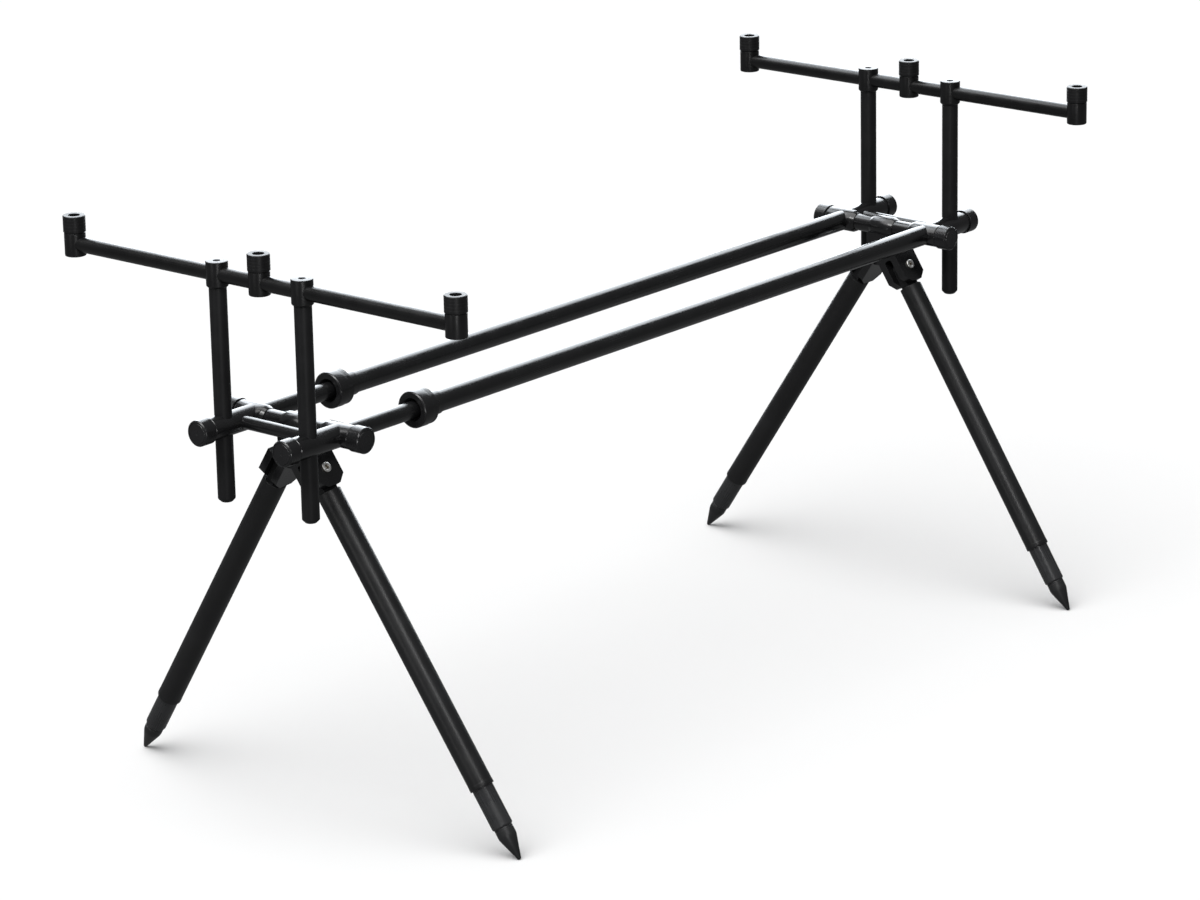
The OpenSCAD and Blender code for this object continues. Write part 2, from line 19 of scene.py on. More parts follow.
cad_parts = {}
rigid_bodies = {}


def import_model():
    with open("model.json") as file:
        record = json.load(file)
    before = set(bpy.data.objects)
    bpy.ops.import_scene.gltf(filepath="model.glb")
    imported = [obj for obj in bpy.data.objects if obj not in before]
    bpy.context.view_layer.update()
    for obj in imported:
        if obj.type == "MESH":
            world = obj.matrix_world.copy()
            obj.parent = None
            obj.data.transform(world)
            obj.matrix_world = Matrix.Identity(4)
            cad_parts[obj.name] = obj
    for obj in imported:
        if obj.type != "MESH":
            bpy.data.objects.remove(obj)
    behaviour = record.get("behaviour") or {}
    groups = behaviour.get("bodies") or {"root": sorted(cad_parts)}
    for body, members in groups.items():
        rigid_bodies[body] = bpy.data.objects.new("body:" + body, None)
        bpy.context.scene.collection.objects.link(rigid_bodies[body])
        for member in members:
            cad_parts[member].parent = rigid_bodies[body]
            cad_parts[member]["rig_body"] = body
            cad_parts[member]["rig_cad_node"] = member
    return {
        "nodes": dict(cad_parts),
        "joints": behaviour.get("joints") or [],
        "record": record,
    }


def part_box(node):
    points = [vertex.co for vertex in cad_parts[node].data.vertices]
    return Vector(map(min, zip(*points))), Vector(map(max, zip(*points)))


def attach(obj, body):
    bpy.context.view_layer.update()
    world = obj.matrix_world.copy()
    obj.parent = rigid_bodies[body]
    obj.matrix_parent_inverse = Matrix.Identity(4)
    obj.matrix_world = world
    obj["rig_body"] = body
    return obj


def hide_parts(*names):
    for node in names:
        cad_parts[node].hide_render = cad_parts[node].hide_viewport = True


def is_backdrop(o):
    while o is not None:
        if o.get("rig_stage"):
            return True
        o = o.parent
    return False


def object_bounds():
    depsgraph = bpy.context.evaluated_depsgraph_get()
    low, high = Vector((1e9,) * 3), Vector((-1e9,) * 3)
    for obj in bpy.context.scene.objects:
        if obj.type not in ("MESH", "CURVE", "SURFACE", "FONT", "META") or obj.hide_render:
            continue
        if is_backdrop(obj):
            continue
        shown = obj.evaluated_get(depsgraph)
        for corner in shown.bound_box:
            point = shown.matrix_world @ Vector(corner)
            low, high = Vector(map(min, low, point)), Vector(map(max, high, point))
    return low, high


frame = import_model()
CAD_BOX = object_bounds()

MM = 0.001
PHOTO_WIDTH_PX = 1200
SENSOR_WIDTH = 36.0
SHARP_ANGLE = math.radians(28)
TAPER_ANGLE = math.radians(16)
FLAT_ANGLE = math.radians(0.3)
EASE_STEPS = 4
TIP_STEPS = 5
RIB_POINTS = 8
THREAD_STEPS = 30
POST_STUD = 11.5
AXLE_STUD = 18.0
UP = Vector((0, 0, 1))

Colour = tuple[float, float, float]
Point = tuple[float, float, float]
Pair = tuple[float, float]
Socket = bpy.types.NodeSocket

log = logging.getLogger("rod_pod")


class Named(Enum):
    """Options that the nodes spell by their names in small letters."""

    @property
    def word(self) -> str:
        """The option's name as the nodes spell it."""
        return self.name.lower()


class End(Named):
    """Ends of the pod, valued by the way out of it along Y."""

    FRONT = -1
    REAR = 1


class Side(Named):
    """Sides of the pod, valued by their sign along X."""

    LEFT = -1
    RIGHT = 1


class Place(Named):
    """Places of the threaded bosses along a goal's bar, valued by their sign along X."""

    LEFT = -1
    MIDDLE = 0
    RIGHT = 1


class Slot(Enum):
    """Material slots of the record."""

    SATIN_BLACK = "satin_black"
    GLOSS_BLACK = "gloss_black"
    KNURLED_BLACK = "knurled_black"
    GREY_TUBE = "grey_tube"
    GREY_SPIKE = "grey_spike"
    STAINLESS = "stainless"
    NYLON = "nylon"


class Plan(Enum):
    """Outlines that a ring of a turned piece can have, seen along its axis."""

    ROUND = "round"
    HEXAGON = "hexagon"


class Grain(Enum):
    """Fine marks that making a piece leaves on its surface."""

    DRAWN_X = "lines along X"
    DRAWN_Y = "lines along Y"
    DRAWN_Z = "lines along Z"
    TURNED = "rings round the piece's own axis"
    BLASTED = "even fine grain"


@dataclass
class Graph:
    """Node tree of one material or sky, with short ways to add and join its nodes.

    Attributes:
        tree: The node tree.
    """

    tree: bpy.types.NodeTree

    @classmethod
    def of(cls, owner: bpy.types.Material | bpy.types.World) -> "Graph":
        """Empties the node tree of a material or sky.

        Args:
            owner: The material or sky.

        Returns:
            The empty tree.
        """
        owner.use_nodes = True
        owner.node_tree.nodes.clear()
        return cls(owner.node_tree)

    def add(
        self, kind: str, settings: dict[str, object] | None = None, **inputs: object,
    ) -> bpy.types.Node:
        """Adds a node.

        Args:
            kind: The node's type without its "ShaderNode" prefix.
            settings: Attributes of the node itself.
            **inputs: Values or sockets for its inputs, with "_" for a space in an input's name.

        Returns:
            The new node.
        """
        node = self.tree.nodes.new("ShaderNode" + kind)
        for name, value in (settings or {}).items():
            setattr(node, name, value)
        for name, value in inputs.items():
            self.feed(node.inputs[name.replace("_", " ")], value)
        return node

    def feed(self, target: Socket, value: object) -> None:
        """Links a socket to an input, or sets the input's value.

        Args:
            target: The input.
            value: A socket or a plain value.
        """
        if isinstance(value, bpy.types.NodeSocket):
            self.tree.links.new(value, target)
        else:
            target.default_value = value

    def calculate(self, kind: str, operation: str, *values: object) -> bpy.types.Node:
        """Adds a node that works out numbers or vectors.

        Args:
            kind: "Math" or "VectorMath".
            operation: What the node does.
            *values: Values or sockets for its inputs, in order.

        Returns:
            The new node.
        """
        node = self.add(kind, {"operation": operation})
        for target, value in zip(node.inputs, values):
            self.feed(target, value)
        return node

    def math(self, operation: str, *values: object) -> Socket:
        """Adds a math node and returns its result."""
        return self.calculate("Math", operation, *values).outputs[0]

    def noise(self, place: Socket, scale: float, detail: float, roughness: float = 0.5) -> Socket:
        """Adds a noise and returns its heights."""
        node = self.add("TexNoise", Vector=place, Scale=scale, Detail=detail, Roughness=roughness)
        return node.outputs[0]

    def spread(self, value: Socket, source: Pair, target: Pair = (0.0, 1.0)) -> Socket:
        """Maps a range of values onto another one, clamped.

        Args:
            value: The value.
            source: Range that it comes from.
            target: Range that it goes to.

        Returns:
            The mapped value.
        """
        node = self.add("MapRange", {"clamp": True}, Value=value)
        for name, number in zip(("From Min", "From Max", "To Min", "To Max"), source + target):
            node.inputs[name].default_value = number
        return node.outputs["Result"]

    def blend(self, factor: Socket, first: object, second: object) -> Socket:
        """Mixes two colours.

        Args:
            factor: Share of the second colour.
            first: Socket or value of the first colour.
            second: Socket or value of the second colour.

        Returns:
            The mixed colour.
        """
        node = self.add("Mix", {"data_type": "RGBA"})
        for index, value in ((0, factor), (6, first), (7, second)):
            self.feed(node.inputs[index], value)
        return node.outputs[2]


def rgba(colour: Colour) -> tuple[float, float, float, float]:
    """A colour with full opacity."""
    return (*colour, 1.0)


@dataclass(frozen=True)
class Finish:
    """Surface finish of metal or plastic pieces.

    Attributes:
        name: Name of the material.
        slot: Slot of the record that it belongs to.
        colour: Main colour.
        cloud: Colour of faint, wide patches.
        worn: Colour of rubbed edges.
        roughness: Middle roughness.
        grain: Marks that making the piece left.
        metallic: Share of bare metal.
        ior: Refractive index of the surface layer.
        mark_depth: Height of the marks in micrometres.
        edge: Width of the rubbed edges.
        grime: Dark brown-tinted colour painted into deep recesses as shade, for finishes that have
            it.
    """

    name: str
    slot: Slot
    colour: Colour
    cloud: Colour
    worn: Colour
    roughness: float
    grain: Grain
    metallic: float = 0.0
    ior: float = 1.28
    mark_depth: float = 12.0
    edge: float = 0.35
    grime: Colour | None = None

    def marks(self, graph: Graph, place: Socket) -> Socket:
        """Height of the fine marks.

        Args:
            graph: The material's nodes.
            place: Position in the piece's own axes.

        Returns:
            A socket with heights from 0 to 1.
        """
        lines, along, blasted, rings = 1500.0, 9.0, 1200.0, 2200.0
        if self.grain is Grain.TURNED:
            flat = graph.calculate("VectorMath", "MULTIPLY", place, (1.0, 1.0, 0.0))
            radius = graph.calculate("VectorMath", "LENGTH", flat.outputs["Vector"])
            height = graph.add("SeparateXYZ", Vector=place).outputs["Z"]
            track = graph.math("SUBTRACT", radius.outputs["Value"], height)
            turned = graph.add(
                "TexNoise", {"noise_dimensions": "1D"}, W=track, Scale=rings, Detail=3.0,
            )
            return turned.outputs[0]
        scale = {
            Grain.DRAWN_X: (along, lines, lines),
            Grain.DRAWN_Y: (lines, along, lines),
            Grain.DRAWN_Z: (lines, lines, along),
            Grain.BLASTED: (blasted, blasted, blasted),
        }[self.grain]
        mapped = graph.add("Mapping", Vector=place, Scale=scale).outputs["Vector"]
        return graph.noise(mapped, scale=1.0, detail=4.0)

    def edges(self, graph: Graph) -> Socket:
        """Mask of convex edges that handling has rubbed.

        Args:
            graph: The material's nodes.

        Returns:
            A socket with values from 0 to 1.
        """
        soft = graph.add("Bevel", {"samples": 4}, Radius=self.edge * MM).outputs["Normal"]
        true = graph.add("NewGeometry").outputs["Normal"]
        match = graph.calculate("VectorMath", "DOT_PRODUCT", soft, true).outputs["Value"]
        return graph.spread(match, source=(0.995, 0.86))

    def holes(self, graph: Graph) -> Socket:
        """Mask from 0 to 1 of painted shade in deep recesses, from ambient occlusion."""
        shelter = graph.add("AmbientOcclusion", {"samples": 8}, Distance=3.0 * MM).outputs["AO"]
        return graph.spread(shelter, source=(0.75, 0.45))

    def material(self) -> bpy.types.Material:
        """The finish as a material.

        Returns:
            The material, made on first use.
        """
        made = bpy.data.materials.get(self.name)
        if made:
            return made
        made = bpy.data.materials.new(self.name)
        graph = Graph.of(made)
        place = graph.add("TexCoord").outputs["Object"]
        marks = self.marks(graph, place)
        patches = graph.noise(place, scale=38.0, detail=5.0, roughness=0.6)
        handled = graph.noise(place, scale=140.0, detail=3.0)
        handling = graph.spread(handled, source=(0.4, 0.75), target=(0.25, 1.0))
        rubbed = graph.math("MULTIPLY", self.edges(graph), handling)
        clouding = graph.spread(patches, source=(0.35, 0.7))
        colour = graph.blend(clouding, rgba(self.colour), rgba(self.cloud))
        colour = graph.blend(rubbed, colour, rgba(self.worn))
        # Painted shade: deep recesses, such as screw sockets, blend towards the dark brown-tinted
        # colour.
        if self.grime:
            colour = graph.blend(self.holes(graph), colour, rgba(self.grime))
        shiny, dull = self.roughness - 0.05, self.roughness + 0.06
        smooth = graph.spread(patches, source=(0.3, 0.75), target=(shiny, dull))
        scuffs = graph.spread(marks, source=(0.3, 0.7), target=(-0.04, 0.05))
        rough = graph.math("ADD", smooth, scuffs)
        bump = graph.add("Bump", Strength=0.6, Distance=self.mark_depth * MM * MM, Height=marks)
        surface = graph.add(
            "BsdfPrincipled", Base_Color=colour, Roughness=rough, Metallic=self.metallic,
            IOR=self.ior, Normal=bump.outputs["Normal"],
        )
        graph.add("OutputMaterial", Surface=surface.outputs["BSDF"])
        return made

    def apply(self, item: bpy.types.Object) -> None:
        """Gives the finish to a piece or a carried-over node.

        Args:
            item: The piece or node.
        """
        item.data.materials.clear()
        item.data.materials.append(self.material())


def black(
    name: str, slot: Slot, roughness: float, grain: Grain, shade: float = 0.005, **more: float,
) -> Finish:
    """A black anodised finish.

    Args:
        name: Name of the material.
        slot: Slot of the record.
        roughness: Middle roughness.
        grain: Marks on the surface.
        shade: Brightness of its main colour.
        **more: Other fields of the finish.

    Returns:
        The finish.
    """
    tint = Vector((1.0, 1.01, 1.07))
    cloud, worn = 1.4 * shade, 0.015 + 3 * shade
    colours = (tuple(tint * level) for level in (shade, cloud, worn))
    return Finish(name, slot, *colours, roughness, grain, **more)


SATIN_TURNED = black("satin_black_turned", Slot.SATIN_BLACK, 0.34, Grain.TURNED, ior=1.35)
SATIN_POST = black("satin_black_post", Slot.SATIN_BLACK, 0.42, Grain.DRAWN_Z, shade=0.008)
SATIN_LEG = black("satin_black_leg", Slot.SATIN_BLACK, 0.36, Grain.DRAWN_Z, shade=0.007, ior=1.4)
SATIN_BAR = black("satin_black_bar", Slot.SATIN_BLACK, 0.3, Grain.DRAWN_X, shade=0.0035, ior=1.4)
SATIN_BLASTED = black(
    "satin_black_blasted", Slot.SATIN_BLACK, 0.42, Grain.BLASTED, shade=0.008, mark_depth=24.0,
)
GLOSS_BAR = black(
    "gloss_black_side_bar", Slot.GLOSS_BLACK, 0.22, Grain.DRAWN_Y, ior=1.5, mark_depth=6.0,
)
GLOSS_AXLE = black(
    "gloss_black_axle", Slot.GLOSS_BLACK, 0.2, Grain.DRAWN_X, ior=1.5, mark_depth=6.0,
)
GLOSS_MACHINED = black(
    "gloss_black_machined", Slot.GLOSS_BLACK, 0.21, Grain.BLASTED, shade=0.0055, ior=1.5,
    mark_depth=4.0,
)
COLLAR = black("matte_black_collar", Slot.KNURLED_BLACK, 0.42, Grain.TURNED, shade=0.006, ior=1.3)
GRIP = black(
    "satin_black_grip", Slot.KNURLED_BLACK, 0.23, Grain.TURNED, shade=0.008, ior=1.4,
    mark_depth=8.0,
)
GREY_TUBE = Finish(
    "grey_anodised_tube", Slot.GREY_TUBE, (0.018, 0.0184, 0.0194), (0.023, 0.0235, 0.0246),
    (0.1, 0.103, 0.108), 0.28, Grain.DRAWN_Z, ior=1.5,
)
GREY_SPIKE = Finish(
    "dark_turned_spike", Slot.GREY_SPIKE, (0.01, 0.0102, 0.0107), (0.014, 0.0143, 0.015),
    (0.1, 0.103, 0.108), 0.36, Grain.TURNED, ior=1.45, mark_depth=26.0,
)
# Its dark brown-tinted colour is painted into the screws' sockets as shade.
STAINLESS = Finish(
    "bright_stainless", Slot.STAINLESS, (0.9, 0.89, 0.86), (0.82, 0.81, 0.79), (0.95, 0.94, 0.91),
    0.42, Grain.TURNED, metallic=1.0, mark_depth=6.0, grime=(0.11, 0.075, 0.03),
)
NYLON = Finish(
    "matte_nylon", Slot.NYLON, (0.05, 0.05, 0.047), (0.062, 0.062, 0.058), (0.09, 0.09, 0.085),
    0.6, Grain.BLASTED,
)


@dataclass(frozen=True)
class Ring:
    """One ring of a turned piece.

    Attributes:
        radius: Distance from the axis, or to the sides of a hexagon.
        height: Height along the axis.
        plan: Outline of the ring.
    """

    radius: float
    height: float
    plan: Plan = Plan.ROUND

    def reach(self, turn: float) -> float:
        """Distance of one of the ring's points from the axis.

        Args:
            turn: Angle of the point in radians.

        Returns:
            The distance.
        """
        if self.plan is Plan.ROUND:
            return self.radius
        sixth = math.pi / 3
        return self.radius / math.cos(turn % sixth - sixth / 2)


@dataclass
class Profile:
    """Cross-section of a turned piece, drawn with its outer wall upwards and its bore downwards.

    Attributes:
        corners: Rings in order, each with the distance over which its corner is eased.
    """

    corners: list[tuple[Ring, float]] = field(default_factory=list)

    def to(
        self, radius: float, height: float, ease: float = 0.0, plan: Plan = Plan.ROUND,
    ) -> "Profile":
        """Goes on to a corner.

        Args:
            radius: Distance from the axis.
            height: Height along the axis.
            ease: Distance over which the corner is rounded.
            plan: Outline of the piece there.

        Returns:
            The profile itself.
        """
        self.corners.append((Ring(radius, height, plan), ease))
        return self

    def groove(self, radius: float, height: float, width: float, depth: float) -> "Profile":
        """Goes up past a shallow groove.

        Args:
            radius: Radius of the wall that it is cut in.
            height: Height of its middle.
            width: Width at the wall.
            depth: Depth of the groove.

        Returns:
            The profile itself.
        """
        low, high = height - width / 2, height + width / 2
        self.to(radius, low).to(radius - depth, low + depth / 2)
        return self.to(radius - depth, high - depth / 2).to(radius, high)

    def ripple(
        self, radius: float, low: float, high: float, pitch: float, depth: float,
    ) -> "Profile":
        """Goes up a wall with soft ribs round it.

        Args:
            radius: Radius of the ribs' crests.
            low: Height where the ribs start.
            high: Height where they end.
            pitch: Distance from crest to crest, fitted to whole ribs.
            depth: Depth between two crests.

        Returns:
            The profile itself.
        """
        steps = max(1, round((high - low) / pitch)) * RIB_POINTS
        for step in range(steps + 1):
            dip = depth / 2 * (1 - math.cos(math.tau * step / RIB_POINTS))
            self.to(radius - dip, low + (high - low) * step / steps)
        return self

    def rings(self) -> list[Ring]:
        """The profile's rings.

        Returns:
            All rings in order, with the eased corners drawn out.
        """
        made: list[Ring] = []
        points = [Vector((ring.radius, ring.height)) for ring, _ in self.corners]
        for index, (ring, ease) in enumerate(self.corners):
            if not ease:
                made.append(ring)
                continue
            corner = points[index]
            start = corner + (points[index - 1] - corner).normalized() * ease
            end = corner + (points[(index + 1) % len(points)] - corner).normalized() * ease
            for step in range(EASE_STEPS + 1):
                t = step / EASE_STEPS
                point = start * (1 - t) ** 2 + corner * (2 * t * (1 - t)) + end * t**2
                made.append(Ring(point.x, point.y, ring.plan))
        return made

    def mesh(self, name: str, columns: int = 96) -> bpy.types.Mesh:
        """Turns the profile into a closed mesh.

        Args:
            name: Name of the mesh.
            columns: Number of points round the axis, a multiple of 6 with a hexagon.

        Returns:
            The mesh, in metres, with its axis along Z.
        """
        rings = self.rings()
        points: list[Point] = []
        rows: list[list[int]] = []
        for ring in rings:
            first, height = len(points), ring.height * MM
            if ring.radius <= 0.0:
                points.append((0.0, 0.0, height))
                rows.append([first] * columns)
                continue
            for column in range(columns):
                turn = math.tau * column / columns
                reach = ring.reach(turn) * MM
                points.append((reach * math.cos(turn), reach * math.sin(turn), height))
            rows.append(list(range(first, first + columns)))
        pairs = list(zip(rows, rows[1:]))
        has_bore = rings[0].radius > 0.0
        if has_bore:
            pairs.append((rows[-1], rows[0]))
        faces: list[tuple[int, ...]] = []
        for low, high in pairs:
            for column in range(columns):
                after = (column + 1) % columns
                cell = tuple(dict.fromkeys((low[column], low[after], high[after], high[column])))
                if len(cell) > 2:
                    faces.append(cell)
        mesh = bpy.data.meshes.new(name)
        mesh.from_pydata(points, [], faces)
        mesh.polygons.foreach_set("use_smooth", [True] * len(faces))
        mesh.set_sharp_from_angle(angle=SHARP_ANGLE)
        mesh.update()
        return mesh


@dataclass(frozen=True)
class Stand:
    """Where a turned piece stands.

    Attributes:
        origin: Point where its height is zero.
        axis: Direction in which its height grows.
    """

    origin: Vector
    axis: Vector

    def matrix(self) -> Matrix:
        """The stand as a transform from the piece's axes to the pod's."""
        turn = self.axis.to_track_quat("Z", "Y").to_matrix().to_4x4()
        return Matrix.Translation(self.origin) @ turn


def joint(name: str) -> dict:
    """The record's joint of that name."""
    return next(found for found in frame["joints"] if found["name"] == name)


def mount(name: str) -> dict:
    """The record's mount of that name."""
    return next(found for found in frame["record"]["mounts"] if found["name"] == name)


def body_of(node: str) -> str:
    """Name of the body that a node moves with."""
    return frame["nodes"][node]["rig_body"]


def middle(node: str) -> Vector:
    """Middle of a node's box."""
    low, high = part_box(node)
    return (low + high) / 2


def put(name: str, data: bpy.types.ID, place: Matrix) -> bpy.types.Object:
    """Puts an object into the scene.

    Args:
        name: Its name.
        data: Its mesh, light or camera.
        place: Its transform.

    Returns:
        The object.
    """
    made = bpy.data.objects.new(name, data)
    bpy.context.scene.collection.objects.link(made)
    made.matrix_world = place
    return made


@dataclass(kw_only=True)
class SubAssembly(ABC):
    """Pieces that are built together and then dressed in their finishes.

    Attributes:
        items: Pieces and carried-over nodes, each with its finish.
    """

    items: list[tuple[bpy.types.Object, Finish]] = field(
        default_factory=list, init=False, repr=False,
    )

    @abstractmethod
    def build(self) -> None:
        """Makes the meshes and puts them on their bodies."""

    def dress(self) -> None:
        """Gives every piece and carried-over node its finish."""
        for item, finish in self.items:
            finish.apply(item)
            log.info("%s in %s", item.name, finish.name)

    def carry(self, node: str, finish: Finish) -> None:
        """Keeps a node as it is, with a finish."""
        self.items.append((frame["nodes"][node], finish))

    def add(
        self, mesh: bpy.types.Mesh, place: Matrix, node: str, finish: Finish,
        stands_for: bool = True,
    ) -> None:
        """Adds a piece.

        Args:
            mesh: Its mesh, whose name it takes.
            place: Its transform.
            node: Node that it moves with.
            finish: Its finish.
            stands_for: Whether it also stands for that node.
        """
        piece = put(mesh.name, mesh, place)
        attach(piece, body_of(node))
        if stands_for:
            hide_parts(node)
        self.items.append((piece, finish))

    def ease(self, node: str, width: float, finish: Finish) -> None:
        """Stands a copy of a node with broken edges in its place.

        Args:
            node: The node.
            width: Width of the broken edges.
            finish: Finish of the piece.
        """
        work = bmesh.new()
        work.from_mesh(frame["nodes"][node].data)
        bmesh.ops.remove_doubles(work, verts=work.verts, dist=MM * MM)
        bmesh.ops.dissolve_limit(
            work, angle_limit=FLAT_ANGLE, verts=work.verts, edges=work.edges,
        )
        sharp = [
            edge for edge in work.edges
            if len(edge.link_faces) == 2 and edge.calc_face_angle(0.0) > SHARP_ANGLE
        ]
        bmesh.ops.bevel(
            work, geom=sharp, offset=width * MM, offset_type="WIDTH", segments=2, profile=0.6,
            affect="EDGES", clamp_overlap=True,
        )
        mesh = bpy.data.meshes.new(node + "_machined")
        work.to_mesh(mesh)
        work.free()
        mesh.polygons.foreach_set("use_smooth", [True] * len(mesh.polygons))
        mesh.set_sharp_from_angle(angle=TAPER_ANGLE)
        self.add(mesh, Matrix.Identity(4), node, finish)


@dataclass(kw_only=True)
class Knob(SubAssembly):
    """Turned clamp knob with a dished end face and its stud.

    Attributes:
        node: The knob's node.
        outward: Direction in which its end face looks.
        stud: Length of the stud.
        radius: Radius of the grip.
        length: Length with the neck.
        neck: Length of the neck.
        neck_radius: Radius of the neck.
        stud_radius: Radius of the stud.
        chamfer: Chamfer of the grip's outer edge.
        break_edge: Chamfer of its inner edge.
        land: Plain width between the ribs and the outer edge.
        pitch: Pitch of the soft ribs round the grip.
        depth: Depth of these ribs.
        rim: Width of the rim on the end face.
        ring: Width of the fine ring cut inside the rim.
        dish: Depth of that ring.
        walls: Slopes of the ring's outer and inner wall.
        face: Depth of the end face beside the ring and at its centre mark.
        centre: Radius of the shallow centre mark.
        centre_wall: Slope of that mark's wall.
    """

    node: str
    outward: Vector
    stud: float
    radius: float = 12.0
    length: float = 14.0
    neck: float = 0.8
    neck_radius: float = 10.0
    stud_radius: float = 4.0
    chamfer: float = 1.1
    break_edge: float = 0.15
    land: float = 0.6
    pitch: float = 1.9
    depth: float = 0.1
    rim: float = 0.8
    ring: float = 0.7
    dish: float = 0.5
    walls: Pair = (0.2, 0.3)
    face: Pair = (0.1, 0.25)
    centre: float = 1.6
    centre_wall: float = 0.4

    def build(self) -> None:
        """Makes the knob."""
        spot = middle(self.node)
        reach = max((corner - spot).dot(self.outward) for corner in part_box(self.node))
        foot = spot + self.outward * reach - self.outward * self.length * MM
        top, wall, cut = self.length, self.radius, self.length - self.dish
        start, end = self.neck + self.break_edge, top - self.chamfer - self.land
        rim = wall - self.chamfer - self.rim
        inner = rim - self.ring
        profile = Profile()
        profile.to(0.0, -self.stud).to(self.stud_radius, -self.stud, ease=0.5)
        profile.to(self.stud_radius, 0.0).to(self.neck_radius, 0.0, ease=0.2)
        profile.to(self.neck_radius, self.neck).to(wall - self.break_edge, self.neck)
        profile.ripple(wall, start, end, self.pitch, self.depth)
        profile.to(wall, top - self.chamfer, ease=0.3).to(wall - self.chamfer, top, ease=0.3)
        profile.to(rim, top).to(rim - self.walls[0], cut).to(inner, cut)
        profile.to(inner - self.walls[1], top - self.face[0]).to(self.centre, top - self.face[1])
        profile.to(self.centre - self.centre_wall, cut).to(0.0, cut)
        mesh = profile.mesh(self.node + "_turned", columns=120)
        self.add(mesh, Stand(foot, self.outward).matrix(), self.node, GRIP)


@dataclass(kw_only=True)
class Goal(SubAssembly):
    """Cross bar on two posts, with a threaded boss and its lock collar in three places.

    Attributes:
        end: End of the pod that it stands at.
        boss_radius: Radius of a boss.
        boss_half: Half of a boss's height.
        spigot_radius: Radius of the spigot under a collar.
        spigot_height: Height of that spigot.
        thread_root: Radius of the alarm thread's roots.
        thread_crest: Radius of its crests.
        thread_pitch: Pitch of the thread.
        thread_depth: Depth of the thread below the spigot's top.
        thread_lead: Countersink at its mouth.
        thread_ends: Plain lengths at the bottom and the mouth of its hole.
        thread_half: Half of the ridge's width, as a share of the pitch.
        thread_sink: How far the ridge is sunk into the wall.
        drill_point: Depth of the cone at the bottom of its hole.
        collar_radius: Radius of a lock collar.
        collar_height: Height of a collar.
        collar_gap: Gap under a collar.
        collar_bore: Radius of a collar's bore on the spigot.
        mouth: Radius of the hole in a collar's top.
        mouth_lead: Countersink of that hole.
        head_radius: Radius of a post head.
        head_half: Half of a head's height.
        head_step: Chamfer under a head.
        screw_hole: Radius of the set screw's hole.
        screw_depth: Depth of that hole.
        screw_lead: Countersink of that hole.
        post_radius: Radius of a post.
        post_tip: Chamfer at a post's foot.
        dimple: Radii and heights along the dimple in a post's foot.
        grooves: Number of fine grooves round a collar.
        groove: Width and depth of these grooves.
        chamfer: Chamfer round the tops of collars and bosses.
    """

    end: End
    boss_radius: float = 9.75
    boss_half: float = 11.0
    spigot_radius: float = 6.5
    spigot_height: float = 10.0
    thread_root: float = 4.72
    thread_crest: float = 4.3
    thread_pitch: float = 1.27
    thread_depth: float = 24.0
    thread_lead: float = 0.5
    thread_ends: Pair = (0.6, 0.7)
    thread_half: float = 0.42
    thread_sink: float = 0.05
    drill_point: float = 1.5
    collar_radius: float = 10.25
    collar_height: float = 15.0
    collar_gap: float = 0.3
    collar_bore: float = 6.58
    mouth: float = 5.3
    mouth_lead: float = 0.25
    head_radius: float = 10.0
    head_half: float = 12.0
    head_step: float = 1.6
    screw_hole: float = 3.04
    screw_depth: float = 5.0
    screw_lead: float = 0.4
    post_radius: float = 8.0
    post_tip: float = 3.0
    dimple: tuple[Pair, ...] = ((0.0, 1.2), (1.6, 0.3), (2.0, 0.0))
    grooves: int = 4
    groove: Pair = (0.6, 0.1)
    chamfer: float = 0.6

    def build(self) -> None:
        """Makes the bosses, collars, heads and posts, and keeps the bar and the set screws."""
        word = self.end.word
        bar = middle(f"{word}_bar_tubes")
        lift = UP * (self.boss_half + self.collar_gap) * MM
        for place in Place:
            x, y, _ = mount(f"{word}_{place.word}_alarm_thread")["pos_m"]
            stand = Stand(Vector((x, y, bar.z)), UP)
            node, name = f"{word}_bosses", f"{word}_{place.word}_boss"
            self.add(self.boss().mesh(name), stand.matrix(), node, SATIN_TURNED)
            ridge = self.thread(name + "_thread")
            self.add(ridge, stand.matrix(), node, SATIN_TURNED, stands_for=False)
            node = f"{word}_{place.word}_lock_collar"
            stand = Stand(stand.origin + lift, UP)
            self.add(self.collar().mesh(node + "_turned"), stand.matrix(), node, COLLAR)
        low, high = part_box(f"{word}_posts")
        across = (high.x - low.x) / 2 - self.post_radius * MM
        head, post = self.head(), self.post((high.z - low.z) / MM)
        for side in Side:
            x, name = side.value * across, f"{word}_{side.word}_post"
            stand = Stand(Vector((x, bar.y, bar.z)), UP)
            self.add(head.mesh(name + "_head"), stand.matrix(), f"{word}_post_heads", SATIN_TURNED)
            stand = Stand(Vector((x, bar.y, low.z)), UP)
            self.add(post.mesh(name), stand.matrix(), f"{word}_posts", SATIN_POST)
        self.carry(f"{word}_bar_tubes", SATIN_BAR)
        self.carry(f"{word}_head_screws", SATIN_BLASTED)

    def boss(self) -> Profile:
        """Draws a boss.

        Returns:
            Its profile, with the hole for the thread.
        """
        half, radius, chamfer = self.boss_half, self.boss_radius, self.chamfer
        top, root, lead = half + self.spigot_height, self.thread_root, self.thread_lead
        bottom = top - self.thread_depth
        profile = Profile()
        profile.to(0.0, -half).to(radius, -half, ease=1.0)
        profile.to(radius, half - chamfer, ease=0.1).to(radius - chamfer, half, ease=0.1)
        profile.to(self.spigot_radius, half).to(self.spigot_radius, top, ease=0.5)
        profile.to(root + lead, top).to(root, top - lead)
        return profile.to(root, bottom).to(0.0, bottom - self.drill_point)

